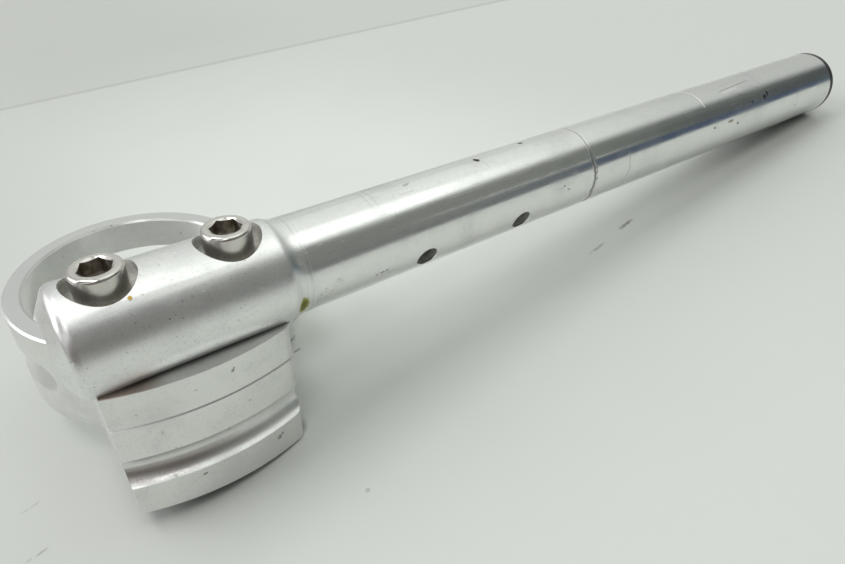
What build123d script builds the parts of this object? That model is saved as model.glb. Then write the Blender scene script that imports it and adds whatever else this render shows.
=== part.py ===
from build123d import *
import math
import os

# Clip-on handlebar: a turned bar bolted down through a riser block onto a split fork clamp.
# Millimetres. The origin is on the fork axis at the middle of the clamp's height, +Z runs up the
# fork, +X runs outboard along the bar and +Y points to the rear.

# Fork clamp ring, with a window that leaves an upper and a lower strap
fork_diameter = 53.0
ring_wall = 4.5
upper_band = 9.0
window_height = 8.6
lower_band = 8.7
window_start_angle = 12.0
window_end_angle = 212.5
bore_relief = 0.3
relief_margin = 0.5
clamp_chamfer = 0.5

# Bolted seat in front of the ring
bar_offset = 44.1
seat_front = 14.1
seat_inboard = 20.3
seat_outboard = 19.3
seat_corner_radius = 3.0
root_fillet = 2.0
cove_depth = 3.0

# Pinch lug and its slit
lug_angle = -20.0
lug_width = 18.0
lug_edge = 5.2
lug_corner_radius = 3.0
slit_width = 2.5
pinch_inset = 2.8
pinch_spacing = 13.2

# Riser block between clamp and bar
riser_height = 8.6
riser_back = 12.0
riser_chamfer = 0.1

# Handlebar, turned from one bar
tube_diameter = 22.2
tube_wall = 3.1
tube_length = 221.2
tube_end_chamfer = 0.3
bore_end_gap = 14.0
drill_point_angle = 118.0
head_step = 1.0
head_inboard_overhang = 4.1
head_outboard_overhang = 2.0
head_end_bevel = 2.6
head_end_drop = 4.5
head_edge_radius = 2.2
neck_length = 3.4
flat_depth = 4.9
flat_end_clearance = 0.4
counterbore_diameter = 14.0
counterbore_depth = 3.7

# Cross holes in the tube, turned down from the front
cross_hole_diameter = 5.6
cross_hole_sink = 6.2
cross_hole_angle = 22.0
cross_hole_distance = 35.0
cross_hole_pitch = 30.8
cross_hole_count = 2

# Plug in the tube's free end
plug_flange = 2.0
plug_length = 14.0
plug_edge_radius = 0.5
plug_tip_chamfer = 1.0

# Bar screws
bar_screw_edges = (7.7, 6.7)
bar_screw_thread = 6.0
bar_screw_length = 40.0
bar_screw_head = 10.2
bar_screw_head_height = 6.0
bar_screw_socket = 5.9
bar_screw_socket_depth = 3.2
bar_screw_turns = (4.5, 41.0)

# Pinch screws
pinch_thread = 5.0
pinch_length = 12.0
pinch_head = 8.5
pinch_head_height = 5.0
pinch_socket = 4.0
pinch_socket_depth = 2.6
pinch_turns = (10.0, 25.0)
pinch_head_sink = 5.2

# Fits and small edges
screw_clearance = 0.3
close_clearance = 0.03
pinch_head_clearance = 0.5
tapped_hole_run_out = 2.0
screw_edge_radius = 0.8
screw_tip_chamfer = 0.5
socket_mouth_ratio = 1.2
socket_mouth_angle = 120.0

# Sizes that follow from the ones above
bore_radius = fork_diameter / 2
ring_radius = bore_radius + ring_wall
clamp_height = upper_band + window_height + lower_band
clamp_top = clamp_height / 2
window_middle = (lower_band - upper_band) / 2
front_reach = bar_offset + seat_front
seat_width = seat_inboard + seat_outboard
seat_middle = (seat_outboard - seat_inboard) / 2
pinch_radius = ring_radius + pinch_inset
lug_reach = pinch_radius + lug_edge
lug_half_width = lug_width / 2
pinch_seat = lug_half_width - pinch_head_sink
riser_top = clamp_top + riser_height
tube_radius = tube_diameter / 2
bore_in_tube = tube_radius - tube_wall
head_radius = tube_radius + head_step
bar_height = riser_top + head_radius - flat_depth
head_inboard = seat_inboard + head_inboard_overhang
head_outboard = seat_outboard + head_outboard_overhang
tube_end = head_outboard + tube_length
screw_seat_height = bar_height + head_radius - counterbore_depth
screw_tip_height = screw_seat_height - bar_screw_length
tapped_hole_depth = clamp_top - screw_tip_height + tapped_hole_run_out
screw_alongs = (bar_screw_edges[0] - seat_inboard, seat_outboard - bar_screw_edges[1])
screw_places = [(along, -bar_offset) for along in screw_alongs]
pinch_heights = [side * pinch_spacing / 2 for side in (-1, 1)]

# The bar's axis and the plane of its long section
bar_axis = Axis((0, -bar_offset, bar_height), (1, 0, 0))
bar_section = Plane(origin=(0, -bar_offset, bar_height), x_dir=(1, 0, 0), z_dir=(0, -1, 0))
tube_end_plane = Plane(origin=(tube_end, -bar_offset, bar_height), x_dir=(0, 1, 0), z_dir=(1, 0, 0))


def radial_plane(angle):
    """Upright plane through the fork axis, with its x outwards at the given angle."""
    turn = math.radians(angle)
    outward = (math.cos(turn), math.sin(turn), 0)
    return Plane(origin=(0, 0, 0), x_dir=outward, z_dir=(math.sin(turn), -math.cos(turn), 0))


def outward_plane(angle, height):
    """Plane through the fork axis at a height, facing outwards at the given angle."""
    turn = math.radians(angle)
    outward = (math.cos(turn), math.sin(turn), 0)
    return Plane(origin=(0, 0, height), x_dir=(-math.sin(turn), math.cos(turn), 0), z_dir=outward)


def pinch_plane(height, slit_distance):
    """Plane across a pinch screw, at a distance from the slit's middle towards its head."""
    lug_frame = Plane.XY.rotated((0, 0, lug_angle))
    centre = lug_frame.from_local_coords(Vector(pinch_radius, slit_distance, height))
    return Plane(origin=centre, x_dir=lug_frame.x_dir, z_dir=lug_frame.y_dir)


def cross_hole_plane(index):
    """Plane that touches the tube at one of its cross holes and faces outwards."""
    turn = math.radians(cross_hole_angle)
    outward = Vector(0, -math.cos(turn), -math.sin(turn))
    along = head_outboard + cross_hole_distance + index * cross_hole_pitch
    surface = Vector(along, -bar_offset, bar_height) + outward * tube_radius
    return Plane(origin=surface, x_dir=(1, 0, 0), z_dir=outward)


def cap_screw(seat, thread, length, head, head_height, socket, socket_depth, turn):
    """Socket head screw: the head stands on the seat plane, the shank runs the other way."""
    screw_axis = Axis(seat.origin, seat.z_dir)
    with BuildPart() as screw:
        with BuildSketch(seat):
            Circle(head / 2)
        extrude(amount=head_height)
        fillet(screw.edges().group_by(screw_axis)[-1], screw_edge_radius)
        with BuildSketch(seat.offset(head_height)):
            RegularPolygon(socket / 2, 6, major_radius=False, rotation=turn)
        extrude(amount=-socket_depth, mode=Mode.SUBTRACT)
        mouth = socket_mouth_ratio * socket / 2
        mouth_depth = (mouth - socket / 2) / math.tan(math.radians(socket_mouth_angle / 2))
        with Locations(seat.offset(head_height - mouth_depth)):
            Cone(
                socket / 2,
                mouth,
                mouth_depth,
                align=(Align.CENTER, Align.CENTER, Align.MIN),
                mode=Mode.SUBTRACT,
            )
        with BuildSketch(seat):
            Circle(thread / 2)
        extrude(amount=-length)
        chamfer(screw.edges().group_by(screw_axis)[0], screw_tip_chamfer)
    return screw


# Plan of the bolted seat: a front arc round the fork, straight sides and rounded corners
with BuildSketch() as seat_plan:
    Circle(front_reach)
    with Locations((seat_middle, -front_reach / 2)):
        Rectangle(seat_width, front_reach, mode=Mode.INTERSECT)
    fillet(seat_plan.vertices().group_by(Axis.Y)[0], seat_corner_radius)

# Fork clamp: slit ring, pinch lug and seat in one piece
with BuildPart() as fork_clamp:
    with BuildSketch(Plane.XY.offset(-clamp_top)) as clamp_plan:
        add(seat_plan.sketch)
        with Locations(Location((0, 0, 0), (0, 0, -90))):
            Circle(ring_radius)
        with PolarLocations(lug_reach / 2, 1, start_angle=lug_angle):
            RectangleRounded(lug_reach, lug_width, lug_corner_radius)
        roots = clamp_plan.vertices().filter_by(
            lambda corner: math.isclose(math.hypot(corner.X, corner.Y), ring_radius, abs_tol=0.01)
        )
        fillet(roots, root_fillet)
        Circle(bore_radius, mode=Mode.SUBTRACT)
        with PolarLocations(lug_reach / 2, 1, start_angle=lug_angle):
            Rectangle(lug_reach + lug_corner_radius, slit_width, mode=Mode.SUBTRACT)
    extrude(amount=clamp_height)
    chamfer(fork_clamp.faces().filter_by(Axis.Z).edges(), clamp_chamfer)

    # The bore is relieved at the window's height, so the straps grip the fork
    relief_height = window_height - 2 * relief_margin
    with BuildSketch(Plane.XY.offset(window_middle - relief_height / 2)):
        Circle(bore_radius + bore_relief)
    extrude(amount=relief_height, mode=Mode.SUBTRACT)

    # The window runs round the back of the ring and has round ends
    end_turn = math.degrees(window_height / 2 / ring_radius)
    window_first = window_start_angle + end_turn
    window_last = window_end_angle - end_turn
    with BuildSketch(radial_plane(window_first)):
        with Locations((bore_radius + ring_wall / 2, window_middle)):
            Rectangle(2 * ring_wall, window_height)
    revolve(axis=Axis.Z, revolution_arc=window_last - window_first, mode=Mode.SUBTRACT)
    for angle in (window_first, window_last):
        with BuildSketch(outward_plane(angle, window_middle).offset(bore_radius - ring_wall / 2)):
            Circle(window_height / 2)
        extrude(amount=2 * ring_wall, mode=Mode.SUBTRACT)

    # The cove carries the window's height across the front of the seat
    cove_radius = ((window_height / 2) ** 2 + cove_depth**2) / (2 * cove_depth)
    with BuildSketch(Plane.XZ):
        with Locations((front_reach - cove_depth + cove_radius, window_middle)):
            Circle(cove_radius)
    revolve(axis=Axis.Z, mode=Mode.SUBTRACT)

    with BuildSketch(Plane.XY.offset(clamp_top)):
        with Locations(*screw_places):
            Circle(bar_screw_thread / 2 + close_clearance)
    extrude(amount=-tapped_hole_depth, mode=Mode.SUBTRACT)

    for height in pinch_heights:
        with BuildSketch(pinch_plane(height, pinch_seat)):
            Circle(pinch_head / 2 + pinch_head_clearance)
        extrude(amount=2 * pinch_head_sink, mode=Mode.SUBTRACT)
        with BuildSketch(pinch_plane(height, 0)):
            Circle(pinch_thread / 2 + screw_clearance)
        extrude(amount=lug_half_width, mode=Mode.SUBTRACT)
        with BuildSketch(pinch_plane(height, 0)):
            Circle(pinch_thread / 2 + close_clearance)
        extrude(amount=-lug_width, mode=Mode.SUBTRACT)

# Riser block: the front of the seat's plan, cut square behind the bar
with BuildPart() as riser_block:
    with BuildSketch(Plane.XY.offset(clamp_top)):
        add(seat_plan.sketch)
        with Locations((seat_middle, riser_back - bar_offset)):
            Rectangle(seat_width, front_reach, align=(Align.CENTER, Align.MAX), mode=Mode.INTERSECT)
    extrude(amount=riser_height)
    fillet(riser_block.edges().filter_by(Axis.Z).group_by(Axis.Y)[-1], seat_corner_radius)
    chamfer(riser_block.faces().filter_by(Axis.Z).edges(), riser_chamfer)
    with BuildSketch(Plane.XY.offset(clamp_top)):
        with Locations(*screw_places):
            Circle(bar_screw_thread / 2 + screw_clearance)
    extrude(amount=riser_height, mode=Mode.SUBTRACT)

# Handlebar: thick bolted head and hollow tube
with BuildPart() as handlebar:
    with BuildSketch(bar_section) as bar_profile:
        with BuildLine():
            neck_end = (head_outboard + neck_length, tube_radius)
            Polyline(
                (tube_end, tube_radius),
                (tube_end, 0),
                (-head_inboard, 0),
                (-head_inboard, head_radius - head_end_drop),
                (head_end_bevel - head_inboard, head_radius),
                (head_outboard, head_radius),
            )
            TangentArc(neck_end, (head_outboard, head_radius), tangent=(-1, 0))
            Line(neck_end, (tube_end, tube_radius))
        make_face()
        fillet(bar_profile.vertices().group_by(Axis.Y)[-1], head_edge_radius)
        chamfer(bar_profile.vertices().group_by(Axis.X)[-1].sort_by(Axis.Y)[-1], tube_end_chamfer)
    revolve(axis=bar_axis)

    # Blind bore from the free end, with a drill point
    bore_start = head_outboard + bore_end_gap
    point_length = bore_in_tube / math.tan(math.radians(drill_point_angle / 2))
    with BuildSketch(bar_section):
        with BuildLine():
            Polyline(
                (bore_start, 0),
                (bore_start + point_length, bore_in_tube),
                (tube_end, bore_in_tube),
                (tube_end, 0),
                close=True,
            )
        make_face()
    revolve(axis=bar_axis, mode=Mode.SUBTRACT)

    # Flat milled under the head for the riser, open at the inboard end
    flat_end = seat_outboard + flat_end_clearance
    with BuildSketch(Plane.XY.offset(riser_top)):
        with Locations((flat_end, -bar_offset)):
            Rectangle(head_inboard + flat_end, 2 * head_radius, align=(Align.MAX, Align.CENTER))
    extrude(amount=-head_radius, mode=Mode.SUBTRACT)

    with BuildSketch(Plane.XY.offset(screw_seat_height)):
        with Locations(*screw_places):
            Circle(counterbore_diameter / 2)
    extrude(amount=head_radius, mode=Mode.SUBTRACT)
    with BuildSketch(Plane.XY.offset(screw_seat_height)):
        with Locations(*screw_places):
            Circle(bar_screw_thread / 2 + screw_clearance)
    extrude(amount=-2 * head_radius, mode=Mode.SUBTRACT)

    for index in range(cross_hole_count):
        with Locations(cross_hole_plane(index)):
            CounterSinkHole(
                radius=cross_hole_diameter / 2,
                counter_sink_radius=cross_hole_sink / 2,
                depth=tube_radius,
            )

# End plug: its flange closes the tube, its spigot sits in the bore
with BuildPart() as end_plug:
    with BuildSketch(tube_end_plane):
        Circle(tube_radius)
    extrude(amount=plug_flange)
    fillet(end_plug.edges().group_by(Axis.X)[-1], plug_edge_radius)
    with BuildSketch(tube_end_plane):
        Circle(bore_in_tube - close_clearance)
    extrude(amount=-plug_length)
    chamfer(end_plug.edges().group_by(Axis.X)[0], plug_tip_chamfer)

# Screws, each on its own seat
bar_screws = [
    cap_screw(
        Plane(origin=(x, y, screw_seat_height)),
        bar_screw_thread,
        bar_screw_length,
        bar_screw_head,
        bar_screw_head_height,
        bar_screw_socket,
        bar_screw_socket_depth,
        turn,
    )
    for (x, y), turn in zip(screw_places, bar_screw_turns)
]
pinch_screws = [
    cap_screw(
        pinch_plane(height, pinch_seat),
        pinch_thread,
        pinch_length,
        pinch_head,
        pinch_head_height,
        pinch_socket,
        pinch_socket_depth,
        turn,
    )
    for height, turn in zip(pinch_heights, pinch_turns)
]

pieces = {
    "handlebar": handlebar,
    "riser_block": riser_block,
    "fork_clamp": fork_clamp,
    "end_plug": end_plug,
    "bar_screw_inboard": bar_screws[0],
    "bar_screw_outboard": bar_screws[1],
    "pinch_screw_lower": pinch_screws[0],
    "pinch_screw_upper": pinch_screws[1],
}
os.makedirs("parts", exist_ok=True)
for name, piece in pieces.items():
    piece.part.label = name
    export_step(piece.part, f"parts/{name}.step")
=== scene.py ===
import math

import bpy
from bpy.props import FloatProperty, FloatVectorProperty, PointerProperty
from mathutils import Matrix, Vector


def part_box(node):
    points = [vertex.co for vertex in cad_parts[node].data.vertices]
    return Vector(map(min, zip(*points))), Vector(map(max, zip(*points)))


bl_info = {
    "name": "Clip-on handlebar",
    "version": (1, 0, 0),
    "blender": (4, 5, 0),
    "location": "View3D > Sidebar > Clip-on",
    "description": "Finishes the clip-on handlebar's solids and sets them on a pale table",
    "category": "Object",
}

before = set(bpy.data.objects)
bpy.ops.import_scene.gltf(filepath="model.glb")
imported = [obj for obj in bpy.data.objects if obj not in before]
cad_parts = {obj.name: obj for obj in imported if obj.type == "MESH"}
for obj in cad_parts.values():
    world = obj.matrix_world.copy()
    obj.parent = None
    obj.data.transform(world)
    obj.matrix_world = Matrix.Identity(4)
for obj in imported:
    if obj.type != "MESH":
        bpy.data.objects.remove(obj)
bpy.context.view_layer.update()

# Sizes whose names end in MM are in millimetres. Everything else is in Blender's metres.
MM = 0.001
DEGREES = 180.0 / math.pi
BAR_LOW, BAR_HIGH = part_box("handlebar")
HEAD_RADIUS_MM = (BAR_HIGH.y - BAR_LOW.y) / 2 / MM
BAR_Y_MM = (BAR_HIGH.y + BAR_LOW.y) / 2 / MM
BAR_Z_MM = BAR_HIGH.z / MM - HEAD_RADIUS_MM
PLUG_LOW, PLUG_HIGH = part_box("end_plug")
TUBE_RADIUS_MM = (PLUG_HIGH.y - PLUG_LOW.y) / 2 / MM
SCREW_LOW, SCREW_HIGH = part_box("bar_screw_outboard")
SCREW_X_MM = (SCREW_HIGH.x + SCREW_LOW.x) / 2 / MM
SCREW_TOP_MM = SCREW_HIGH.z / MM
RISER_LOW, RISER_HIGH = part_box("riser_block")
RISER_TOP_MM = RISER_HIGH.z / MM
RISER_LOW_MM, RISER_HIGH_MM = RISER_LOW.x / MM, RISER_HIGH.x / MM
CLAMP_LOW, CLAMP_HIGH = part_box("fork_clamp")
CLAMP_REACH_MM = -CLAMP_LOW.y / MM
CLAMP_TOP_MM = CLAMP_HIGH.z / MM
RING_RADIUS_MM = -CLAMP_LOW.x / MM
BORE_RADIUS_MM = 26.5  # half the fork's diameter
PINCH_LOW, PINCH_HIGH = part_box("pinch_screw_upper")
PINCH_Z_MM = (PINCH_HIGH.z + PINCH_LOW.z) / 2 / MM
LUG_TURN = math.radians(-20.0)  # the pinch lug's turn about the fork


class Field:
    """A number that varies over a surface: a shader node's output, with plain arithmetic."""

    def __init__(self, tree, socket):
        self.tree = tree
        self.socket = socket

    def math(self, operation, *others):
        node = self.tree.nodes.new("ShaderNodeMath")
        node.operation = operation
        for socket, value in zip(node.inputs, (self, *others)):
            feed(self.tree, socket, value)
        return Field(self.tree, node.outputs[0])

    def __add__(self, other):
        return self.math("ADD", other)

    def __sub__(self, other):
        return self.math("SUBTRACT", other)

    def __rsub__(self, other):
        return self.math("MULTIPLY_ADD", -1.0, other)

    def __mul__(self, other):
        return self.math("MULTIPLY", other)

    def __truediv__(self, other):
        return self.math("DIVIDE", other)

    def __abs__(self):
        return self.math("ABSOLUTE")

    def most(self, other):
        return self.math("MAXIMUM", other)

    def root(self):
        return self.math("SQRT")

    def ramp(self, low, high, out_low=0.0, out_high=1.0):
        """Smooth step from out_low at low to out_high at high; low may be the larger one."""
        if low > high:
            low, high, out_low, out_high = high, low, out_high, out_low
        node = self.tree.nodes.new("ShaderNodeMapRange")
        node.interpolation_type = "SMOOTHSTEP"
        feed(self.tree, node.inputs["Value"], self)
        names = ("From Min", "From Max", "To Min", "To Max")
        for name, value in zip(names, (low, high, out_low, out_high)):
            feed(self.tree, node.inputs[name], value)
        return Field(self.tree, node.outputs["Result"])

    def between(self, low, high, edge):
        """1 from low to high, fading to 0 over the edge outside them."""
        return self.ramp(low - edge, low) * self.ramp(high + edge, high)


def feed(tree, socket, value):
    """Links a field or a socket to an input, or sets the input to a plain value."""
    if isinstance(value, Field):
        value = value.socket
    if isinstance(value, bpy.types.NodeSocket):
        tree.links.new(value, socket)
    else:
        socket.default_value = value


def join(tree, x, y, z):
    """A vector from three fields or numbers."""
    node = tree.nodes.new("ShaderNodeCombineXYZ")
    for socket, value in zip(node.inputs, (x, y, z)):
        feed(tree, socket, value)
    return node.outputs[0]


def split(tree, vector):
    """The three fields of a vector."""
    node = tree.nodes.new("ShaderNodeSeparateXYZ")
    tree.links.new(vector, node.inputs[0])
    return [Field(tree, socket) for socket in node.outputs]


def noise(tree, vector, scale=1.0, detail=2.0, rough=0.5):
    """Noise about a half, at each point of a vector that is in millimetres."""
    node = tree.nodes.new("ShaderNodeTexNoise")
    tree.links.new(vector, node.inputs["Vector"])
    node.inputs["Scale"].default_value = scale
    node.inputs["Detail"].default_value = detail
    node.inputs["Roughness"].default_value = rough
    return Field(tree, node.outputs["Fac"])


def specks(tree, vector, scale, size):
    """Small round dots, one to a cell, each with its own share of the given size."""
    node = tree.nodes.new("ShaderNodeTexVoronoi")
    tree.links.new(vector, node.inputs["Vector"])
    node.inputs["Scale"].default_value = scale
    chance = split(tree, node.outputs["Color"])[0]
    reach = chance * chance * chance * size + 0.001
    return (Field(tree, node.outputs["Distance"]) / reach).ramp(1.0, 0.6)


def hairlines(tree, vector, scale, width):
    """Thin wandering scratches: where a noise crosses a half."""
    return abs(noise(tree, vector, scale, 1.0) - 0.5).ramp(width, width * 0.3)


def blend(tree, mask, first, second):
    """Colour that goes from first to second with the mask."""
    node = tree.nodes.new("ShaderNodeMix")
    node.data_type = "RGBA"
    node.clamp_factor = True
    feed(tree, node.inputs["Factor"], mask)
    for socket, value in zip((node.inputs[6], node.inputs[7]), (first, second)):
        if not isinstance(value, (bpy.types.NodeSocket, Field)):
            value = (*value[:3], 1.0)
        feed(tree, socket, value)
    return node.outputs[2]


def cover(tree, base, layers):
    """Colour built up on a base from layers, each a mask and a colour."""
    colour = base
    for mask, over in layers:
        colour = blend(tree, mask, colour, over)
    return colour


def shaded(colour, share):
    """A colour times a share."""
    return tuple(channel * share for channel in colour)


def strongest(fields):
    """The largest of several fields at each point."""
    most = fields[0]
    for field in fields[1:]:
        most = most.most(field)
    return most


def total(start, parts):
    """A field with others added to it, each times its share."""
    for field, share in parts:
        start = start + field * share
    return start


def object_mm(tree):
    """Object coordinates in millimetres: the vector and its three fields."""
    place = tree.nodes.new("ShaderNodeTexCoord")
    scale = tree.nodes.new("ShaderNodeVectorMath")
    scale.operation = "SCALE"
    tree.links.new(place.outputs["Object"], scale.inputs[0])
    scale.inputs["Scale"].default_value = 1.0 / MM
    return scale.outputs[0], split(tree, scale.outputs[0])


def ball(fields, centre, radius):
    """Round blot about a point in space, 1 at its middle and 0 at its rim."""
    offsets = [field - at for field, at in zip(fields, centre)]
    squares = offsets[0] * offsets[0] + offsets[1] * offsets[1] + offsets[2] * offsets[2]
    return squares.ramp(radius * radius, radius * radius * 0.3)


def new_material(name):
    """A material with its shader wired to the output."""
    material = bpy.data.materials.new(name)
    material.use_nodes = True
    tree = material.node_tree
    return material, tree, tree.nodes["Principled BSDF"]


def raise_surface(tree, shader, height_mm):
    """Bump from a height in millimetres."""
    bump = tree.nodes.new("ShaderNodeBump")
    bump.inputs["Distance"].default_value = MM
    feed(tree, bump.inputs["Height"], height_mm)
    tree.links.new(bump.outputs["Normal"], shader.inputs["Normal"])


def dress(node_name, material):
    """Gives a CAD node its finish."""
    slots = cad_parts[node_name].data.materials
    for index in range(len(slots)):
        slots[index] = material


class BarFinish(bpy.types.PropertyGroup):
    colour: FloatVectorProperty(
        name="Aluminium", description="Colour of the turned aluminium", subtype="COLOR",
        size=3, min=0.0, max=1.0, default=(0.82, 0.83, 0.815),
    )
    roughness: FloatProperty(
        name="Roughness", description="Roughness of the polished tube", subtype="FACTOR",
        min=0.0, max=1.0, default=0.18,
    )
    head_roughness: FloatProperty(
        name="Head roughness", description="Roughness that the bolted head has over the tube",
        subtype="FACTOR", min=0.0, max=1.0, default=0.17,
    )
    score_place: FloatProperty(
        name="Score place", description="Where the worn score runs round the tube", unit="LENGTH",
        default=0.1135,
    )
    paint: FloatVectorProperty(
        name="Paint", description="Colour of the paint spot on the neck", subtype="COLOR",
        size=3, min=0.0, max=1.0, default=(0.36, 0.37, 0.06),
    )


class BlockFinish(bpy.types.PropertyGroup):
    colour: FloatVectorProperty(
        name="Aluminium", description="Colour of the machined blocks", subtype="COLOR",
        size=3, min=0.0, max=1.0, default=(0.80, 0.81, 0.79),
    )
    roughness: FloatProperty(
        name="Roughness", description="Roughness of the machined faces", subtype="FACTOR",
        min=0.0, max=1.0, default=0.36,
    )


class ScrewFinish(bpy.types.PropertyGroup):
    colour: FloatVectorProperty(
        name="Steel", description="Colour of the stainless screws", subtype="COLOR",
        size=3, min=0.0, max=1.0, default=(0.66, 0.64, 0.60),
    )
    # Colour of the painted shade in the screw sockets
    painted_shade: FloatVectorProperty(
        name="Socket_shade", description="Colour of the dirt in the sockets", subtype="COLOR",
        size=3, min=0.0, max=1.0, default=(0.2, 0.17, 0.12),
    )


class PlugFinish(bpy.types.PropertyGroup):
    colour: FloatVectorProperty(
        name="Plastic", description="Colour of the end plug", subtype="COLOR",
        size=3, min=0.0, max=1.0, default=(0.025, 0.025, 0.028),
    )


class StageLook(bpy.types.PropertyGroup):
    table: FloatVectorProperty(
        name="Table", description="Colour of the table top", subtype="COLOR",
        size=3, min=0.0, max=1.0, default=(0.715, 0.74, 0.705),
    )
    light: FloatProperty(
        name="Light", description="Level of the room's light", min=0.0, soft_max=3.0, default=1.0,
    )


class ClipOnSettings(bpy.types.PropertyGroup):
    bar: PointerProperty(type=BarFinish)
    block: PointerProperty(type=BlockFinish)
    screw: PointerProperty(type=ScrewFinish)
    plug: PointerProperty(type=PlugFinish)
    stage: PointerProperty(type=StageLook)


# Marks on the bar: place along it in mm, angle from its front over its top in degrees, and half
# the length along and the width around, in mm
PITS = ((79.35, 92.5, 0.9, 1.15), (96.3, 102.0, 0.8, 0.9))
FAINT_SPECKS = ((56.5, 87.0, 1.0, 0.6), (57.5, 89.0, 0.7, 0.3))
DARK_SPECKS = (
    (169.6, 13.3, 0.7, 0.45), (182.6, 7.0, 0.8, 0.5), (43.0, -15.6, 0.8, 0.25), (44.4, -14.6, 0.5, 0.25),
    (41.6, -17.2, 0.4, 0.25), (101.5, 10.3, 0.4, 0.3), (103.2, 3.0, 0.4, 0.3), (218.7, -0.3, 0.9, 0.15),
    (186.6, 52.0, 0.6, 0.45), (-4.3, 25.8, 0.2, 0.2),
)
RUST_SPECKS = ((178.4, 15.1, 2.0, 0.6),)
INK_MARKS = ((199.0, 34.3, 1.1, 1.1), (200.8, 39.7, 0.6, 1.1), (191.1, 33.7, 1.2, 0.5))
BRIGHT_NICKS = (
    (25.8, 41.7, 0.4, 0.3), (29.4, 45.0, 0.9, 0.2), (34.6, 40.7, 0.7, 0.15), (46.9, 34.0, 0.9, 0.15),
    (-9.0, 33.0, 0.25, 0.2), (-14.5, 34.0, 0.3, 0.25), (60.5, 41.0, 0.7, 0.15), (73.0, 36.5, 1.0, 0.12),
)
SMUDGES = (
    (28.6, -12.0, 2.6, 1.8), (27.6, -20.0, 1.8, 1.2), (44.5, -19.0, 2.6, 1.0), (31.5, -5.0, 1.6, 1.4),
)
YELLOW_DOT = ((-9.3, 55.1, 0.5, 0.5),)
# Long scratches near the free end: from and to in mm, angle at the start in degrees, degrees climbed
# in a mm, half the width in degrees, and strength
LONG_SCRATCHES = ((180.0, 195.0, 70.7, 0.27, 1.0, 0.45), (182.5, 190.0, 82.6, 0.33, 0.8, 0.25))
SCRATCH_CORE, SCRATCH_FADE_MM = 0.2, 2.5
SCRAPE_MM, SCRAPE_START_MM, SCRAPE_ANGLE, SCRAPE_CLIMB = (180.5, 187.0), 182.0, 66.5, 0.27
# Other places along the bar in mm; those named fades go from the first to the second
HEAD_FADE_MM = (24.0, 19.0)
TUBE_FADE_MM = (20.0, 26.0)
BORE_FADE_MM = (24.0, 26.0)
NECK_MM, NECK_FADE_MM = (21.6, 25.4), 1.4
FAINT_RING_MM = 128.2
TWIN_RINGS_MM, TWIN_GAP_MM = 45.8, 0.8
LATE_ARC_MM = 200.0
BRIGHT_ARC_MM = 167.2
WELL_RADIUS_MM = 7.0
CREASE_FADE_MM = 9.0
GLINT_SHIFT_MM = 31.0
PAINT_MM, PAINT_LENGTH_MM = 22.9, 1.4
# Angles round the bar in degrees
PAINT_ANGLE, PAINT_SPREAD = -19.0, 12.0
LOW_SIDE_TOP, LOW_SIDE_FOOT = (42.0, 22.0), (-80.0, -50.0)

BRIGHT_METAL = (0.95, 0.96, 0.95)
GRIT_GREY = (0.2, 0.2, 0.19)
NECK_GREY = (0.45, 0.455, 0.45)
HAIRLINE_GREY = (0.35, 0.35, 0.34)
SMUDGE_GREY = (0.22, 0.22, 0.21)
WELL_SHADE_BROWN = (0.2, 0.18, 0.13)
HOLE_GREY = (0.5, 0.52, 0.47)
CREASE_SHADE_BLACK = (0.035, 0.034, 0.03)
LINE_BLACK = (0.06, 0.06, 0.055)
SPECK_BLACK = (0.035, 0.033, 0.03)
INK_BLUE = (0.03, 0.04, 0.1)
RUST_BROWN = (0.2, 0.12, 0.05)
DOT_YELLOW = (0.75, 0.5, 0.08)


def bar_spots(x, around, spots):
    """Ovals on the bar's skin, 1 inside and fading to 0 at their rims."""
    ovals = []
    for place, angle, half_length, half_width in spots:
        run = (x - place) / half_length
        across = (around - angle) * (TUBE_RADIUS_MM / DEGREES / half_width)
        ovals.append((run * run + across * across).ramp(1.0, 0.3))
    return strongest(ovals)


def long_scratches(x, around):
    """The long scratches near the free end, each with its own strength."""
    scratches = []
    for start, end, angle, climb, half_width, strength in LONG_SCRATCHES:
        off = abs(around - angle - (x - start) * climb)
        reach = x.between(start, end, SCRATCH_FADE_MM)
        scratches.append(off.ramp(half_width, SCRATCH_CORE) * reach * strength)
    return strongest(scratches)


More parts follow.
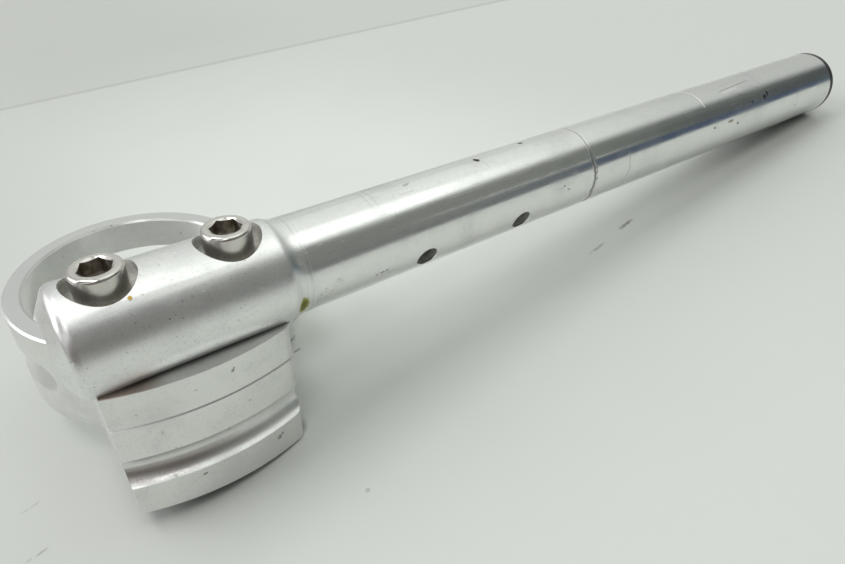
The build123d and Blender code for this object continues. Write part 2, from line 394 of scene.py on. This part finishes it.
class CLIPON_OT_bar(bpy.types.Operator):
    """Finish the turned bar: polished tube, dull neck, gritty head, wear and marks"""

    bl_idname = "clipon.bar"
    bl_label = "Handlebar"

    def execute(self, context):
        look = context.scene.clip_on.bar
        material, tree, shader = new_material("turned_aluminium")
        vector, (x, y, z) = object_mm(tree)
        side = BAR_Y_MM - y
        up = z - BAR_Z_MM
        around = up.math("ARCTAN2", side) * DEGREES
        radius = (side * side + up * up).root()
        skin = radius.ramp(TUBE_RADIUS_MM - 0.5, TUBE_RADIUS_MM - 0.2)
        on_head = x.ramp(*HEAD_FADE_MM)
        on_tube = x.ramp(*TUBE_FADE_MM)

        def stretch(along, across):
            """Vector with one scale along the bar and another across it."""
            return join(tree, x * along, side * across, up * across)

        # Turned rings, the dull neck beside the head, grit on the head and hairlines from use
        rings = noise(tree, stretch(5.0, 0.08), 1.0, 3.0, 0.6)
        neck = x.between(*NECK_MM, NECK_FADE_MM)
        neck_rings = noise(tree, stretch(1.8, 0.05), 1.0, 2.0)
        grain = noise(tree, stretch(0.1, 2.6), 1.0, 3.0)
        waves = noise(tree, stretch(0.09, 0.4), 1.0, 2.0)
        patches = noise(tree, vector, 0.07, 4.0, 0.6)
        mottle = noise(tree, vector, 0.5, 4.0, 0.6)
        frost = noise(tree, vector, 1.7, 3.0, 0.65)
        grit = specks(tree, vector, 1.0, 0.26) * on_head.ramp(0.0, 1.0, 0.3, 1.0)
        glints = specks(tree, join(tree, x + GLINT_SHIFT_MM, y, z), 0.55, 0.25) * on_head
        lengthwise = hairlines(tree, stretch(0.02, 0.9), 1.0, 0.006)
        lengthwise = lengthwise * noise(tree, vector, 0.11, 1.0).ramp(0.52, 0.62) * on_tube
        crosswise = hairlines(tree, stretch(0.8, 0.03), 1.0, 0.005)
        crosswise = crosswise * noise(tree, vector, 0.16, 1.0).ramp(0.54, 0.62) * on_tube

        # The worn score, thin over the top and ragged below, and fainter lines beside it
        low = around.ramp(*LOW_SIDE_TOP) * around.ramp(*LOW_SIDE_FOOT)
        wander = noise(tree, stretch(0.0, 0.16), 1.0, 1.0) - 0.5
        ragged = (noise(tree, stretch(0.0, 0.8), 1.0, 3.0) - 0.5) * low * 2.0
        off_score = x - look.score_place / MM + wander * 1.6 + ragged
        groove = abs(off_score).ramp(0.5, 0.1) * low.ramp(0.0, 1.0, 0.4, 0.75)
        smear = (off_score - 0.3).between(-0.5, 0.5, 0.5) * low * frost.ramp(0.4, 0.6) * 0.6
        lip = (off_score + 0.6).between(-0.15, 0.15, 0.3) * low.ramp(1.0, 0.0, 0.1, 0.5)
        faint = abs(x - FAINT_RING_MM + ragged).ramp(0.35, 0.1) * low * 0.25
        twin = abs(abs(x - TWIN_RINGS_MM) - TWIN_GAP_MM).ramp(0.25, 0.08)
        twin = twin * around.between(75.0, 108.0, 15.0) * 0.12
        late_arc = abs(x - LATE_ARC_MM).ramp(0.35, 0.1) * around.between(58.0, 95.0, 12.0) * 0.22
        lines = strongest((groove, smear, faint, twin, late_arc, long_scratches(x, around)))

        # A bright arc over the top, a scrape below the long scratches, and nicks
        arc = abs(x - BRIGHT_ARC_MM + (mottle - 0.5) * 0.7).ramp(0.5, 0.15)
        arc = arc * around.between(56.0, 116.0, 8.0)
        scrape = (around - SCRAPE_ANGLE - (x - SCRAPE_START_MM) * SCRAPE_CLIMB).between(-2.0, 2.0, 1.5)
        scrape = scrape * x.between(*SCRAPE_MM, 1.5)
        nicks = bar_spots(x, around, BRIGHT_NICKS)
        bright = strongest((arc * 0.55, scrape * 0.35, nicks * 0.3, lip)) * skin

        # Pits, specks, ink and paint
        pits = bar_spots(x, around, PITS) * skin
        specked = (bar_spots(x, around, DARK_SPECKS) * 0.7).most(bar_spots(x, around, FAINT_SPECKS) * 0.35)
        dark = pits.most(specked * skin)
        smudge = bar_spots(x, around, SMUDGES) * noise(tree, vector, 2.6, 3.0).ramp(0.5, 0.66) * skin
        rust = bar_spots(x, around, RUST_SPECKS) * skin * 0.7
        ink = bar_spots(x, around, INK_MARKS) * mottle.ramp(0.35, 0.5) * skin * 0.9
        blot = noise(tree, vector, 1.0, 3.0) - 0.5
        paint_run = (x - PAINT_MM + blot * 1.1) / PAINT_LENGTH_MM
        paint_across = (around - PAINT_ANGLE - blot * 7.0) / PAINT_SPREAD
        spot = paint_run * paint_run + paint_across * paint_across
        paint = spot.ramp(1.3, 0.5) * skin
        paint_core = spot.ramp(0.8, 0.1) * skin
        yellow = bar_spots(x, around, YELLOW_DOT)
        yellow = yellow * radius.ramp(HEAD_RADIUS_MM - 0.5, HEAD_RADIUS_MM - 0.2)

        # Painted shade in the counterbores, brownish and mottled, and painted black shade in the crease
        # over the riser
        screw_x = abs(x) - SCREW_X_MM
        well = (screw_x * screw_x + side * side).root().ramp(WELL_RADIUS_MM + 0.2, WELL_RADIUS_MM)
        well = well * radius.ramp(HEAD_RADIUS_MM - 0.2, HEAD_RADIUS_MM - 1.2)
        well_shade = well * mottle.ramp(0.3, 0.7, 0.3, 0.5)
        # Painted black shade along the crease where the head sits on the riser's top
        crease = (z - RISER_TOP_MM).ramp(0.8, 0.0) * x.ramp(RISER_LOW_MM, RISER_LOW_MM + CREASE_FADE_MM)
        crease = crease * x.ramp(RISER_HIGH_MM, RISER_HIGH_MM - CREASE_FADE_MM) * side.ramp(4.0, 6.0) * 0.65

        # Dull walls of the two peg holes and of the bore behind them
        inside = radius.ramp(TUBE_RADIUS_MM - 0.3, TUBE_RADIUS_MM - 1.0) * x.ramp(*BORE_FADE_MM)

        base = tuple(look.colour)
        frosted = frost.ramp(0.48, 0.75) * on_head.ramp(0.0, 1.0, 0.2, 0.45)
        colour = cover(tree, base, (
            (patches.ramp(0.45, 0.75), shaded(base, 0.88)),
            (mottle.ramp(0.55, 0.8) * 0.3, shaded(base, 0.75)),
            (frosted, shaded(base, 0.7)),
            (grit * 0.4, GRIT_GREY),
            (glints * 0.5, BRIGHT_METAL),
            (neck * neck_rings.ramp(0.35, 0.7) * 0.3, NECK_GREY),
            (lengthwise.most(crosswise) * 0.25, HAIRLINE_GREY),
            (bright, BRIGHT_METAL),
            (smudge * 0.45, SMUDGE_GREY),
            (well_shade, WELL_SHADE_BROWN),
            (inside, HOLE_GREY),
            (crease, CREASE_SHADE_BLACK),
            (lines, LINE_BLACK),
            (dark, SPECK_BLACK),
            (ink, INK_BLUE),
            (rust, RUST_BROWN),
            (paint, tuple(look.paint)),
            (paint_core, shaded(look.paint, 0.45)),
            (yellow, DOT_YELLOW),
        ))
        feed(tree, shader.inputs["Base Color"], colour)

        painted = paint.most(yellow)
        feed(tree, shader.inputs["Metallic"], 1.0 - painted.most(inside * 0.7))
        rough = patches.ramp(0.35, 0.7, look.roughness - 0.03, look.roughness + 0.06)
        feed(tree, shader.inputs["Roughness"], total(rough, (
            (on_head, look.head_roughness),
            (glints, 0.3),
            (neck, 0.1),
            (lengthwise, 0.1),
            (grain.ramp(0.5, 0.8), 0.05),
            (mottle.ramp(0.5, 0.8), 0.06),
            (bright, 0.25),
            (dark.most(lines), 0.3),
            (painted, 0.35),
            (strongest((well_shade, crease, inside)), 0.3),
        )))
        raise_surface(tree, shader, total(rings * 0.0007, (
            (neck * neck_rings, 0.003),
            (grain, 0.0006),
            (patches, 0.004),
            (waves, 0.012),
            (frost, on_head.ramp(0.0, 1.0, 0.0008, 0.004)),
            (grit, -0.01),
            (pits, -0.35),
            (lines, -0.1),
            (arc, -0.05),
            (lengthwise, -0.002),
            (painted, 0.04),
        )))
        dress("handlebar", material)
        return {"FINISHED"}


# Marks on the blocks: a point in mm and the blot's radius
BLOCK_SPECKS = (
    ((12.0, -56.9, -7.3), 0.8), ((12.9, -56.8, -6.7), 0.5), ((4.3, -58.1, 18.8), 0.45),
    ((4.6, -58.1, 19.4), 0.35), ((-6.2, -57.9, -6.3), 0.45), ((-5.8, -58.0, -6.2), 0.4),
    ((-16.7, 19.9, 13.0), 0.4), ((1.6, 26.6, 13.1), 0.5),
)
BLOCK_SMUDGES = (
    ((-26.8, -15.5, -11.2), 1.3), ((-25.3, -17.9, -11.5), 2.2), ((-23.9, -19.8, -11.8), 1.6),
    ((-12.0, -57.0, 8.5), 1.8), ((2.0, -58.2, 9.0), 2.2), ((8.0, -57.6, 17.0), 2.0),
)
# Where the painted shade and painted reflections lie on the blocks, in mm; those named fades go from the
# first to the second
LEDGE_FADE_MM = (-49.0, -51.0)
UNDER_BAR_FADE_MM = (-56.2, -53.8)
BROWN_FADE_MM = (-7.0, -13.0)
SEAT_FADE_MM = (-40.0, -45.0)
COVE_REFLECTION_MM, LIP_REFLECTION_MM, REFLECTION_EDGE_MM = (-3.6, -1.4), (-5.2, -1.4), 0.8
COVE_FADE_MM, LIP_REFLECTION_FADE_MM = (14.0, -8.0), (0.0, -12.0)

DOT_GREY = (0.3, 0.3, 0.28)
CUT_GREY = (0.4, 0.4, 0.39)
LEDGE_REFLECTION_BROWN = (0.33, 0.19, 0.14)
COVE_REFLECTION_BROWN = (0.26, 0.22, 0.19)
UNDER_BAR_SHADE_BLACK = (0.05, 0.048, 0.045)
MARK_GREY = (0.15, 0.145, 0.135)


def blots(fields, places):
    """Several round blots together."""
    return strongest([ball(fields, centre, radius) for centre, radius in places])


class CLIPON_OT_blocks(bpy.types.Operator):
    """Finish the riser block and the fork clamp: machined, satin, a little marked"""

    bl_idname = "clipon.blocks"
    bl_label = "Riser and clamp"

    def execute(self, context):
        look = context.scene.clip_on.block
        material, tree, shader = new_material("machined_aluminium")
        vector, fields = object_mm(tree)
        x, y, z = fields
        from_fork = (x * x + y * y).root()
        cutter = noise(tree, join(tree, x * 0.12, y * 0.12, z * 5.0), 1.0, 2.0)
        fine = noise(tree, vector, 2.2, 3.0, 0.6)
        patches = noise(tree, vector, 0.09, 4.0, 0.6)
        dots = specks(tree, vector, 0.6, 0.3) * noise(tree, vector, 0.12, 1.0).ramp(0.42, 0.6)
        scratches = hairlines(tree, join(tree, x * 0.2, y * 0.2, z * 0.05), 1.0, 0.003)
        scratches = scratches * noise(tree, vector, 0.2, 1.0).ramp(0.5, 0.6)
        dark = blots(fields, BLOCK_SPECKS) * noise(tree, vector, 1.8, 3.0).ramp(0.25, 0.5)
        smudge = blots(fields, BLOCK_SMUDGES) * noise(tree, vector, 1.5, 4.0, 0.7).ramp(0.4, 0.8)

        # Painted shade on the ring's top
        ring_top_shade = from_fork.ramp(RING_RADIUS_MM + 1.0, RING_RADIUS_MM)
        ring_top_shade = ring_top_shade * z.ramp(CLAMP_TOP_MM - 0.6, CLAMP_TOP_MM - 0.2)

        # Painted shade on the riser's top under the bar's front, and a painted brown reflection on its top
        # at the inboard end
        ledge = z.ramp(RISER_TOP_MM - 0.2, RISER_TOP_MM - 0.05) * y.ramp(*LEDGE_FADE_MM)
        under_bar_shade = ledge * y.ramp(*UNDER_BAR_FADE_MM) * x.ramp(RISER_LOW_MM, RISER_LOW_MM + CREASE_FADE_MM)
        brown = ledge * x.ramp(*BROWN_FADE_MM)

        # Painted dark brown reflection in the cove round the seat, strongest inboard, where it reaches the
        # lower lip
        cove_reflection = from_fork.ramp(CLAMP_REACH_MM - 0.8, CLAMP_REACH_MM - 2.2)
        cove_reflection = cove_reflection * z.between(*COVE_REFLECTION_MM, REFLECTION_EDGE_MM) * x.ramp(*COVE_FADE_MM, 0.05, 0.55)
        lip_reflection = from_fork.ramp(CLAMP_REACH_MM - 0.1, CLAMP_REACH_MM - 0.8)
        lip_reflection = lip_reflection * z.between(*LIP_REFLECTION_MM, REFLECTION_EDGE_MM) * x.ramp(*LIP_REFLECTION_FADE_MM)
        cove_reflection = cove_reflection.most(lip_reflection * fine.ramp(0.3, 0.6, 0.35, 0.55)) * y.ramp(*SEAT_FADE_MM)

        base = tuple(look.colour)
        feed(tree, shader.inputs["Base Color"], cover(tree, base, (
            (patches.ramp(0.4, 0.75), shaded(base, 0.9)),
            (fine.ramp(0.5, 0.8) * 0.45, shaded(base, 0.7)),
            (ring_top_shade * 0.8, shaded(base, 0.78)),
            (dots * 0.35, DOT_GREY),
            (scratches * 0.25, CUT_GREY),
            (smudge * 0.2, DOT_GREY),
            (brown * 0.6, LEDGE_REFLECTION_BROWN),
            (cove_reflection, COVE_REFLECTION_BROWN),
            (under_bar_shade * 0.45, UNDER_BAR_SHADE_BLACK),
            (dark * 0.6, MARK_GREY),
        )))
        shader.inputs["Metallic"].default_value = 1.0
        rough = patches.ramp(0.35, 0.7, look.roughness - 0.04, look.roughness + 0.06)
        feed(tree, shader.inputs["Roughness"], total(rough, (
            (fine.ramp(0.45, 0.8), 0.08), (dots, 0.15), (dark.most(smudge), 0.2),
        )))
        raise_surface(tree, shader, total(cutter * 0.0028, (
            (fine, 0.003), (patches, 0.01), (dots, -0.02), (scratches, -0.004), (dark, -0.06),
        )))
        # The bore is rougher along the fork than round it, as the boring tool leaves it
        bored = from_fork.ramp(BORE_RADIUS_MM + 0.6, BORE_RADIUS_MM + 0.4)
        feed(tree, shader.inputs["Anisotropic"], bored * 0.9)
        feed(tree, shader.inputs["Tangent"], join(tree, 0.0, 0.0, 1.0))
        dress("riser_block", material)
        dress("fork_clamp", material)
        return {"FINISHED"}


# Half the key's width and the head's height of each kind of screw, in mm
BAR_SCREW_SIZES = (2.95, 6.0)
PINCH_SCREW_SIZES = (2.0, 5.0)
FOOT_BROWN = (0.34, 0.26, 0.15)
TURNED_GRAIN = 0.8


def steel_material(name, look, place, sizes):
    """Stainless screw with painted shade in its socket. Place gives its vector, radius, depth and turned
    grain.
    """
    material, tree, shader = new_material(name)
    vector, radius, depth, across_grain = place(tree)
    half_key, head_height = sizes
    wear = noise(tree, vector, 0.35, 3.0, 0.6)
    fine = noise(tree, vector, 2.4, 3.0)
    lathe = noise(tree, join(tree, radius * 4.0, depth * 5.0, 0.0), 1.0, 2.0)
    socket = radius.ramp(half_key * 1.2, half_key * 1.14) * depth.ramp(0.15, 0.5)
    # Painted shade in the key socket, mottled
    socket_shade_mask = socket * noise(tree, vector, 0.8, 3.0).ramp(0.3, 0.7, 0.35, 0.95)
    foot = depth.ramp(head_height - 1.6, head_height - 0.2) * wear.ramp(0.35, 0.7) * 0.4
    base = tuple(look.colour)
    feed(tree, shader.inputs["Base Color"], cover(tree, base, (
        (wear.ramp(0.4, 0.75), shaded(base, 0.88)),
        (foot, FOOT_BROWN),
        (socket_shade_mask, tuple(look.painted_shade)),
    )))
    shader.inputs["Metallic"].default_value = 1.0
    feed(tree, shader.inputs["Roughness"], total(wear.ramp(0.3, 0.75, 0.17, 0.24), (
        (fine.ramp(0.55, 0.8), 0.04), (socket_shade_mask, 0.3), (foot, 0.2),
    )))
    raise_surface(tree, shader, total(lathe * 0.0008, ((wear, 0.004), (socket_shade_mask * fine, 0.03))))
    shader.inputs["Anisotropic"].default_value = TURNED_GRAIN
    feed(tree, shader.inputs["Tangent"], across_grain)
    return material


def bar_screw_place(tree):
    """Vector, distance from the nearer bar screw's axis, depth below its top and turned grain."""
    vector, (x, y, z) = object_mm(tree)
    across = abs(x) - SCREW_X_MM
    back = y - BAR_Y_MM
    across_grain = join(tree, across * x.math("SIGN"), back, 1.0)
    return vector, (across * across + back * back).root(), SCREW_TOP_MM - z, across_grain


def pinch_screw_place(tree):
    """Vector, distance from the nearer pinch screw's axis, depth below its top and turned grain."""
    vector, (x, y, z) = object_mm(tree)
    corner_x, corner_y = PINCH_HIGH.x / MM, PINCH_HIGH.y / MM
    radius_mm = (PINCH_HIGH.z - PINCH_LOW.z) / 2 / MM
    turn_cos, turn_sin = math.cos(LUG_TURN), math.sin(LUG_TURN)
    middle = corner_x * turn_cos + corner_y * turn_sin
    top = corner_y * turn_cos - corner_x * turn_sin
    out = x * turn_cos + y * turn_sin - (middle - radius_mm)
    height = abs(z) - PINCH_Z_MM
    depth = top - (y * turn_cos - x * turn_sin)
    across_grain = join(
        tree, out * turn_cos - turn_sin, out * turn_sin + turn_cos, height * z.math("SIGN"),
    )
    return vector, (out * out + height * height).root(), depth, across_grain


class CLIPON_OT_screws(bpy.types.Operator):
    """Finish the four screws: stainless, with painted shade in their sockets"""

    bl_idname = "clipon.screws"
    bl_label = "Screws"

    def execute(self, context):
        look = context.scene.clip_on.screw
        bar_steel = steel_material("bar_screw_steel", look, bar_screw_place, BAR_SCREW_SIZES)
        dress("bar_screw_inboard", bar_steel)
        dress("bar_screw_outboard", bar_steel)
        pinch_steel = steel_material("pinch_screw_steel", look, pinch_screw_place, PINCH_SCREW_SIZES)
        dress("pinch_screw_lower", pinch_steel)
        dress("pinch_screw_upper", pinch_steel)
        return {"FINISHED"}


SCUFF_GREY = (0.14, 0.14, 0.14)


class CLIPON_OT_plug(bpy.types.Operator):
    """Finish the plug in the tube's end"""

    bl_idname = "clipon.plug"
    bl_label = "End plug"

    def execute(self, context):
        look = context.scene.clip_on.plug
        material, tree, shader = new_material("plug_plastic")
        vector, _ = object_mm(tree)
        fine = noise(tree, vector, 1.6, 3.0)
        scuffs = hairlines(tree, vector, 0.25, 0.006) * noise(tree, vector, 0.2, 1.0).ramp(0.45, 0.6)
        base = tuple(look.colour)
        layers = (fine.ramp(0.4, 0.8), shaded(base, 1.7)), (scuffs, SCUFF_GREY)
        feed(tree, shader.inputs["Base Color"], cover(tree, base, layers))
        feed(tree, shader.inputs["Roughness"], fine.ramp(0.3, 0.8, 0.34, 0.55) + scuffs * 0.2)
        raise_surface(tree, shader, fine * 0.012 - scuffs * 0.02)
        dress("end_plug", material)
        return {"FINISHED"}


# The part lies on its clamp and its tube's free end, so in its own frame the table is tilted
TABLE_SLOPE_X = 0.1409
TABLE_SLOPE_Y = -0.0646
SEAM_START = Vector((-0.0027, 0.3127))
SEAM_TURN = math.radians(-22.1)
TABLE_LEFT, TABLE_RIGHT = -0.9, 0.54
TABLE_FRONT, TABLE_BACK = -0.6, 0.9
# A painted pool of light: the table is painted lighter about this middle and darker out to the fade's
# reach, in mm
LIGHT_POOL_MIDDLE_MM, LIGHT_POOL_FADE_MM = (70.0, 20.0), (20.0, 360.0)
# Where the table is painted in shade towards its edges, in mm; each fades in from the first to the second
LEFT_FADE_MM, RIGHT_FADE_MM, FRONT_FADE_MM = (40.0, -40.0), (110.0, 240.0), (-45.0, -90.0)
CLAMP_FRONT_MM, CLAMP_LEFT_MM, CLAMP_RIGHT_MM = (-20.0, -40.0), (-24.0, -4.0), (22.0, 19.0)
TUBE_NEAR_MM, TUBE_END_MM, TUBE_SIDE_MM = (170.0, 235.0), (250.0, 242.0), (9.0, 2.0)
SEAM_GREY = (0.25, 0.25, 0.25)
CONTACT_SHADOW_GREY = (0.1, 0.105, 0.1)
DUST_GREY = (0.3, 0.3, 0.29)
RUB_BLACK = (0.05, 0.055, 0.05)
# Scuffs on the table: place in mm, half the length and the width in mm, and strength
TABLE_SCUFFS = (
    ((140.5, -50.0), 4.5, 0.9, 0.7), ((124.0, -52.5), 5.0, 0.7, 0.4), ((32.0, -25.5), 1.6, 0.5, 0.6),
    ((-41.0, -28.5), 3.0, 0.4, 0.3), ((-42.0, -43.5), 3.0, 0.6, 0.35),
)
SCUFF_RUN = Vector((0.993, 0.12))
CAMERA_PLACE = (-0.022938, -0.159411, 0.111019)
CAMERA_AZIMUTH, CAMERA_ELEVATION, CAMERA_ROLL = 36.51, 35.414, -0.733
FOCAL_PIXELS = 652.415
PHOTO_WIDTH = 845.0
SENSOR_WIDTH = 36.0

# The room's light goes by its turn, in degrees from the front horizon up and over to the back, and
# by the x of its direction. Lamp, strip, window and door on the left: from, to and fade of the
# turn, the same of x, and level
LEFT_LIGHTS = (
    ((96.0, 116.0, 8.0), (-0.42, -0.14, 0.05), 4.6),
    ((66.0, 76.0, 6.0), (-0.32, -0.12, 0.05), 4.5),
    ((108.0, 162.0, 8.0), (-0.95, -0.6, 0.06), 2.2),
    ((42.0, 62.0, 6.0), (-0.9, -0.55, 0.06), 0.3),
)
BACK_TURN = (112.0, 172.0)
PALE_TINT = (0.97, 1.0, 0.96)
DIM_MIDDLE = (0.195, 0.188, 0.186)
DIM_RIGHT = (0.215, 0.225, 0.205)
DIM_END = (0.07, 0.08, 0.082)
DIM_THINGS = (0.22, 0.25, 0.215)
DIM_FOOT = (0.12, 0.12, 0.135)
BLUE_STRIPE = (0.058, 0.082, 0.135)
PALE_RAIL = (0.9, 0.92, 0.9)
LEFT_SHADE = (0.15, 0.125, 0.115)


def table_level():
    """Height of the tilted table under the frame's origin, where it touches the part's lowest points."""
    return min(
        vertex.co.z - TABLE_SLOPE_X * vertex.co.x - TABLE_SLOPE_Y * vertex.co.y
        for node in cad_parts.values()
        for vertex in node.data.vertices
    )


def set_table(look):
    """Pale table top, with a seam across it behind the part."""
    material, tree, shader = new_material("table_top")
    vector, (x, y, _) = object_mm(tree)
    run = Vector((math.cos(SEAM_TURN), math.sin(SEAM_TURN)))
    rise = Vector((-run.y, run.x))
    beyond = (x - SEAM_START.x / MM) * rise.x + (y - SEAM_START.y / MM) * rise.y
    from_middle = [field - at for field, at in zip((x, y), LIGHT_POOL_MIDDLE_MM)]
    reach = (from_middle[0] * from_middle[0] + from_middle[1] * from_middle[1]).root()
    haze = noise(tree, vector, 0.012, 3.0)
    dust = specks(tree, vector, 0.045, 0.035).most(specks(tree, vector, 0.11, 0.05))

    # Painted contact shadow where the clamp and the tube's end stand on it
    from_fork = (x * x + y * y).root()
    clamp_shadow = from_fork.ramp(CLAMP_REACH_MM, CLAMP_REACH_MM - 3.0) * y.ramp(*CLAMP_FRONT_MM)
    clamp_shadow = clamp_shadow * x.ramp(*CLAMP_LEFT_MM) * x.ramp(*CLAMP_RIGHT_MM)
    tube_end_shadow = abs(y - BAR_Y_MM).ramp(*TUBE_SIDE_MM) * x.ramp(*TUBE_NEAR_MM) * x.ramp(*TUBE_END_MM)

    base = tuple(look.table)
    layers = [
        (haze.ramp(0.35, 0.7), shaded(base, 0.97)),
        # Painted pool of light about the middle, and painted shade towards the left, the right and the
        # front
        (reach.ramp(*LIGHT_POOL_FADE_MM), shaded(base, 0.78)),
        (x.ramp(*LEFT_FADE_MM).most(x.ramp(*RIGHT_FADE_MM)), shaded(base, 0.84)),
        (y.ramp(*FRONT_FADE_MM) * 0.3, shaded(base, 0.9)),
        (beyond.ramp(-1.0, 1.0) * 0.19, shaded(base, 0.55)),
        (abs(beyond).ramp(4.2, 0.6) * 0.3, SEAM_GREY),
        (clamp_shadow.most(tube_end_shadow) * 0.75, CONTACT_SHADOW_GREY),
        (dust * 0.45, DUST_GREY),
    ]
    rub = noise(tree, vector, 0.5, 3.0).ramp(0.32, 0.52)
    for (at_x, at_y), length, width, strength in TABLE_SCUFFS:
        along = (x - at_x) * SCUFF_RUN.x + (y - at_y) * SCUFF_RUN.y
        across = (y - at_y) * SCUFF_RUN.x - (x - at_x) * SCUFF_RUN.y
        scuff = abs(along).ramp(length, length * 0.3) * abs(across).ramp(width, width * 0.3)
        layers.append((scuff * rub * strength, RUB_BLACK))
    feed(tree, shader.inputs["Base Color"], cover(tree, base, layers))
    feed(tree, shader.inputs["Roughness"], haze.ramp(0.3, 0.7, 0.5, 0.62))
    shader.inputs["Specular IOR Level"].default_value = 0.25
    level = table_level()
    corners = []
    front_edge = (TABLE_LEFT, TABLE_FRONT), (TABLE_RIGHT, TABLE_FRONT)
    back_edge = (TABLE_RIGHT, TABLE_BACK), (TABLE_LEFT, TABLE_BACK)
    for along, across in front_edge + back_edge:
        spot = SEAM_START + along * run + across * rise
        corners.append((spot.x, spot.y, level + TABLE_SLOPE_X * spot.x + TABLE_SLOPE_Y * spot.y))
    mesh = bpy.data.meshes.new("table")
    mesh.from_pydata(corners, [], [(0, 1, 2, 3)])
    mesh.materials.append(material)
    table = bpy.data.objects.new("table", mesh)
    bpy.context.scene.collection.objects.link(table)


def set_room(look):
    """Light of the room: pale back and dim front on the right, lamps and a window on the left."""
    world = bpy.data.worlds.new("room")
    bpy.context.scene.world = world
    world.use_nodes = True
    tree = world.node_tree
    background = tree.nodes["Background"]
    place = tree.nodes.new("ShaderNodeTexCoord")
    x, y, z = split(tree, place.outputs["Generated"])
    turn = z.math("ARCTAN2", y * -1.0) * DEGREES

    # Right: a pale wall and ceiling over the back, and a dim front with a blue stripe and a pale rail
    near = turn.ramp(*BACK_TURN, 0.96, 0.70)
    far = turn.ramp(*BACK_TURN, 0.55, 0.52)
    wall = near + x.ramp(0.57, 0.9) * (far - near)
    ceiling = turn.between(76.0, 94.0, 12.0) * x.ramp(0.72, 0.42) * 0.6
    level = wall + ceiling
    pale = join(tree, *(level * channel for channel in PALE_TINT))
    things = noise(tree, place.outputs["Generated"], 4.0, 1.0)
    dim = cover(tree, DIM_MIDDLE, (
        (x.ramp(0.1, 0.4), DIM_RIGHT),
        (x.ramp(0.66, 0.88), DIM_END),
        (turn.between(6.0, 21.0, 8.0) * x.ramp(0.5, 0.8), BLUE_STRIPE),
        (things.ramp(0.4, 0.7) * 0.3, DIM_THINGS),
        (turn.between(2.0, 12.0, 6.0) * x.between(0.2, 0.7, 0.1) * 0.5, DIM_FOOT),
        (turn.between(30.0, 31.2, 0.4) * x.between(0.57, 0.72, 0.06), PALE_RAIL),
    ))
    edge = x.ramp(0.35, 0.8, 63.0, 77.0)
    softness = x.ramp(0.35, 0.9, 6.0, 15.0)
    right = blend(tree, ((turn - edge) / softness).ramp(1.0, -1.0), pale, dim)

    # Left: lights, a bright side, a glow at the rear and a brown shade low in front
    glow = turn.ramp(112.0, 130.0, 0.16, 0.60) + turn.between(40.0, 62.0, 5.0) * x.ramp(-0.25, -0.35) * 0.6
    glow = glow + turn.between(2.0, 38.0, 8.0) * x.ramp(-0.9, -0.94) * 0.6
    for turns, reach, strength in LEFT_LIGHTS:
        glow = glow + turn.between(*turns) * x.between(*reach) * strength
    shade = turn.ramp(42.0, 30.0) * x.ramp(-0.92, -0.88)
    left = blend(tree, shade, join(tree, glow, glow, glow), LEFT_SHADE)
    colour = blend(tree, x.ramp(0.05, -0.08), right, left)
    feed(tree, background.inputs["Color"], colour)
    background.inputs["Strength"].default_value = look.light


def set_camera():
    """The photograph's camera."""
    data = bpy.data.cameras.new("photo_camera")
    data.sensor_width = SENSOR_WIDTH
    data.sensor_fit = "HORIZONTAL"
    data.lens = SENSOR_WIDTH * FOCAL_PIXELS / PHOTO_WIDTH
    data.clip_start = 0.005
    camera = bpy.data.objects.new("photo_camera", data)
    bpy.context.scene.collection.objects.link(camera)
    azimuth, elevation, roll = (math.radians(a) for a in (CAMERA_AZIMUTH, CAMERA_ELEVATION, CAMERA_ROLL))
    forward = Vector((
        math.sin(azimuth) * math.cos(elevation),
        math.cos(azimuth) * math.cos(elevation),
        -math.sin(elevation),
    ))
    level_right = Vector((math.cos(azimuth), -math.sin(azimuth), 0.0))
    level_down = forward.cross(level_right)
    right = math.cos(roll) * level_right + math.sin(roll) * level_down
    down = math.cos(roll) * level_down - math.sin(roll) * level_right
    turn = Matrix((right, -down, -forward)).transposed().to_4x4()
    camera.matrix_world = Matrix.Translation(CAMERA_PLACE) @ turn
    bpy.context.scene.camera = camera


class CLIPON_OT_stage(bpy.types.Operator):
    """Set the table, the room's light and the camera"""

    bl_idname = "clipon.stage"
    bl_label = "Stage"

    def execute(self, context):
        look = context.scene.clip_on.stage
        set_table(look)
        set_room(look)
        set_camera()
        context.scene.view_settings.view_transform = "Standard"
        return {"FINISHED"}


OPERATORS = (CLIPON_OT_bar, CLIPON_OT_blocks, CLIPON_OT_screws, CLIPON_OT_plug, CLIPON_OT_stage)


class CLIPON_PT_panel(bpy.types.Panel):
    """Lists the pieces of the clip-on handlebar"""

    bl_idname = "CLIPON_PT_panel"
    bl_label = "Clip-on handlebar"
    bl_space_type = "VIEW_3D"
    bl_region_type = "UI"
    bl_category = "Clip-on"

    def draw(self, context):
        for operator in OPERATORS:
            self.layout.operator(operator.bl_idname)


GROUPS = (BarFinish, BlockFinish, ScrewFinish, PlugFinish, StageLook, ClipOnSettings)
CLASSES = (*GROUPS, *OPERATORS, CLIPON_PT_panel)


def register():
    for cls in CLASSES:
        bpy.utils.register_class(cls)
    bpy.types.Scene.clip_on = PointerProperty(type=ClipOnSettings)


def unregister():
    del bpy.types.Scene.clip_on
    for cls in reversed(CLASSES):
        bpy.utils.unregister_class(cls)


def main():
    register()
    bpy.ops.clipon.bar()
    bpy.ops.clipon.blocks()
    bpy.ops.clipon.screws()
    bpy.ops.clipon.plug()
    bpy.ops.clipon.stage()


if __name__ == "__main__":
    main()
